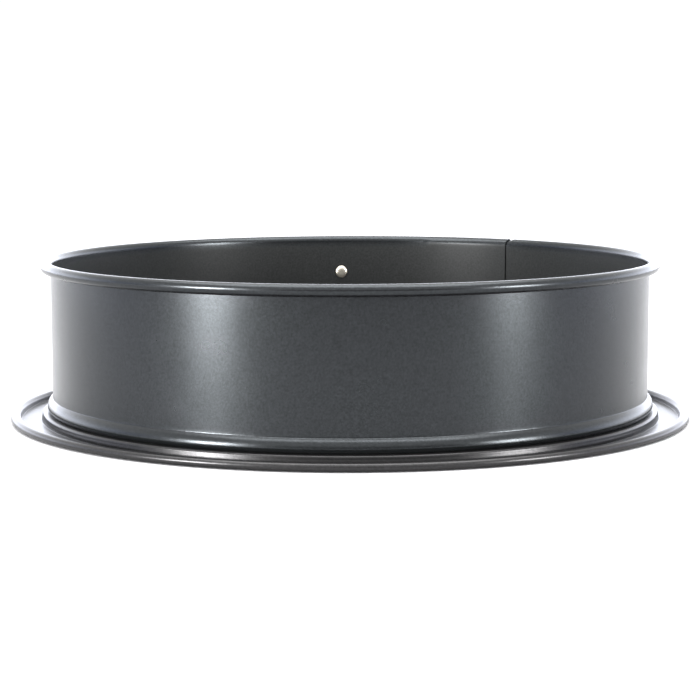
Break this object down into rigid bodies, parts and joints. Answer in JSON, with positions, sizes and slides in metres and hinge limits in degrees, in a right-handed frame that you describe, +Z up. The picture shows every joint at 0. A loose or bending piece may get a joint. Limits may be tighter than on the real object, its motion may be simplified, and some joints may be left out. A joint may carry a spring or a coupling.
{
  "type": "springform pan",
  "caption": "Round springform cake pan: a split steel band with a rolled rim, closed by a lever clasp, lifting off a wide base with a trough.",
  "frame": {"origin": "centre of the pan on the surface it stands on", "axes": "+Z up, +Y towards the clasp at the back, +X to the right seen from the front"},
  "size_m": [0.2962, 0.2962, 0.0703],
  "materials": {
    "band": "dark grey non-stick coating, satin, on sheet steel",
    "base": "dark grey non-stick coating, satin, on sheet steel",
    "clasp": "nickel-plated pressed steel, soft shine",
    "rivets": "nickel-plated steel, warm, slightly dull"
  },
  "bodies": {
    "base": {"base_plate": "base"},
    "band_front": {"band_front": "band"},
    "band_left": {"band_left": "band", "catch_bracket": "clasp", "catch_rivet_upper": "rivets", "catch_rivet_lower": "rivets"},
    "band_right": {"band_right": "band", "hinge_bracket": "clasp", "hinge_rivet_upper": "rivets", "hinge_rivet_lower": "rivets", "lever_pin": "clasp"},
    "lever": {"lever": "clasp"},
    "bail": {"bail": "clasp"}
  },
  "joints": [
    {"name": "ring_lift", "type": "slide", "parent": "base", "child": "band_front", "axis": [0, 0, 1], "range_m": [0, 0.08]},
    {"name": "flex_left", "type": "hinge", "parent": "band_front", "child": "band_left", "pos_m": [-0.1345, 0, 0], "axis": [0, 0, 1], "range_deg": [0, 3.15]},
    {"name": "flex_right", "type": "hinge", "parent": "band_front", "child": "band_right", "pos_m": [0.1345, 0, 0], "axis": [0, 0, -1], "range_deg": [0, 3.15]},
    {"name": "lever_hinge", "type": "hinge", "parent": "band_right", "child": "lever", "pos_m": [0.05102, 0.12721, 0.037], "axis": [0, 0, 1], "range_deg": [0, 130]},
    {"name": "bail_eye", "type": "hinge", "parent": "lever", "child": "bail", "pos_m": [0.06082, 0.12519, 0.037], "axis": [0, 0, -1], "range_deg": [0, 118.52]}
  ],
  "couplings": [
    {"joint": "flex_left", "follows": "lever_hinge", "ratio": 0.024214},
    {"joint": "flex_right", "follows": "lever_hinge", "ratio": 0.024214},
    {"joint": "bail_eye", "follows": "lever_hinge", "ratio": 0.91166}
  ]
}
